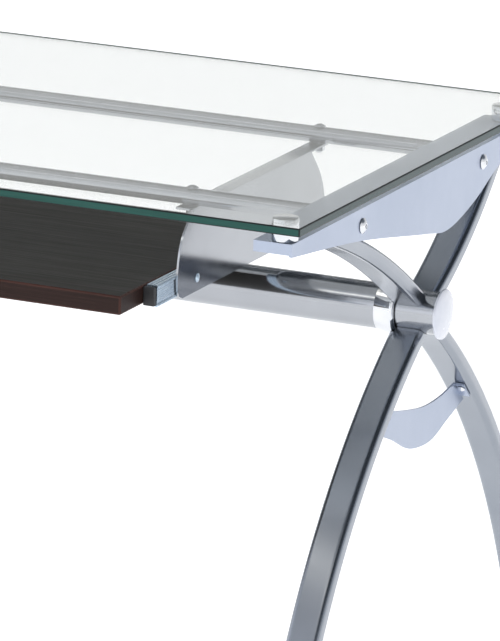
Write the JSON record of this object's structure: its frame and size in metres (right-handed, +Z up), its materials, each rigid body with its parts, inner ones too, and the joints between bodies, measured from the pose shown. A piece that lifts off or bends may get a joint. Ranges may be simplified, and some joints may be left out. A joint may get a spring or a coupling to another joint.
{
  "type": "computer desk with keyboard tray",
  "caption": "Glass-topped computer desk on crossed curved metal legs, with a dark keyboard tray that slides forward on ball-bearing runners under the top.",
  "frame": {"origin": "on the floor, at the centre of the desk's bounding box", "axes": "+Z up, user sits at -Y and looks along +Y, +X is the desk's right side as the user sees it"},
  "size_m": [1.2, 0.7247, 0.75],
  "materials": {
    "clear_glass": "clear toughened float glass with a green tint at its polished edges",
    "espresso_board": "dark espresso wood-grain foil on board, satin",
    "satin_silver": "satin silver powder coat",
    "leg_silver": "glossy silver coat on bent tube, a rectangle with rounded corners",
    "plate_paint": "pale blue-grey satin coat on pressed sheet",
    "chrome": "bright chrome plating",
    "zinc": "bright zinc plate on rolled steel",
    "pale_gloss": "pale silver moulding, glossy",
    "black_plastic": "black moulded plastic"
  },
  "bodies": {
    "frame": {"glass_top": "clear_glass", "standoff_front_right": "chrome", "standoff_front_left": "chrome", "standoff_rear_right": "chrome", "standoff_rear_left": "chrome", "side_plate_right": "plate_paint", "side_plate_left": "plate_paint", "cross_tube_front": "satin_silver", "cross_tube_rear": "satin_silver", "side_screw_front_right": "chrome", "side_screw_front_left": "chrome", "side_screw_rear_right": "chrome", "side_screw_rear_left": "chrome", "keyboard_bracket_right": "satin_silver", "keyboard_bracket_left": "satin_silver", "bracket_bolt_front_right": "chrome", "bracket_bolt_front_left": "chrome", "bracket_bolt_rear_right": "chrome", "bracket_bolt_rear_left": "chrome", "bracket_nut_front_right": "chrome", "bracket_nut_front_left": "chrome", "bracket_nut_rear_right": "chrome", "bracket_nut_rear_left": "chrome", "slide_channel_right": "zinc", "slide_channel_left": "zinc", "slide_screw_front_right": "zinc", "slide_screw_front_left": "zinc", "slide_screw_rear_right": "zinc", "slide_screw_rear_left": "zinc", "stretcher_tube": "satin_silver", "collar_right": "chrome", "collar_left": "chrome", "hub_right": "satin_silver", "hub_left": "satin_silver", "end_cap_right": "pale_gloss", "end_cap_left": "pale_gloss", "leg_upper_front_right": "leg_silver", "leg_upper_front_left": "leg_silver", "leg_upper_rear_right": "leg_silver", "leg_upper_rear_left": "leg_silver", "leg_lower_front_right": "leg_silver", "leg_lower_front_left": "leg_silver", "leg_lower_rear_right": "leg_silver", "leg_lower_rear_left": "leg_silver", "crescent_brace_right": "plate_paint", "crescent_brace_left": "plate_paint", "brace_screw_right": "chrome", "brace_screw_left": "chrome", "foot_glide_front_right": "black_plastic", "foot_glide_front_left": "black_plastic", "foot_glide_rear_right": "black_plastic", "foot_glide_rear_left": "black_plastic"},
    "tray": {"keyboard_tray": "espresso_board", "slide_runner_right": "zinc", "slide_runner_left": "zinc", "slide_bumper_right": "black_plastic", "slide_bumper_left": "black_plastic"},
    "slide_cages": {"slide_cage_right": "black_plastic", "slide_cage_left": "black_plastic"}
  },
  "joints": [
    {"name": "tray_slide", "type": "slide", "parent": "frame", "child": "tray", "axis": [0, -1, 0], "range_m": [0, 0.18]},
    {"name": "cage_slide", "type": "slide", "parent": "frame", "child": "slide_cages", "axis": [0, -1, 0], "range_m": [0, 0.09]}
  ],
  "couplings": [
    {"joint": "cage_slide", "follows": "tray_slide", "ratio": 0.5}
  ]
}
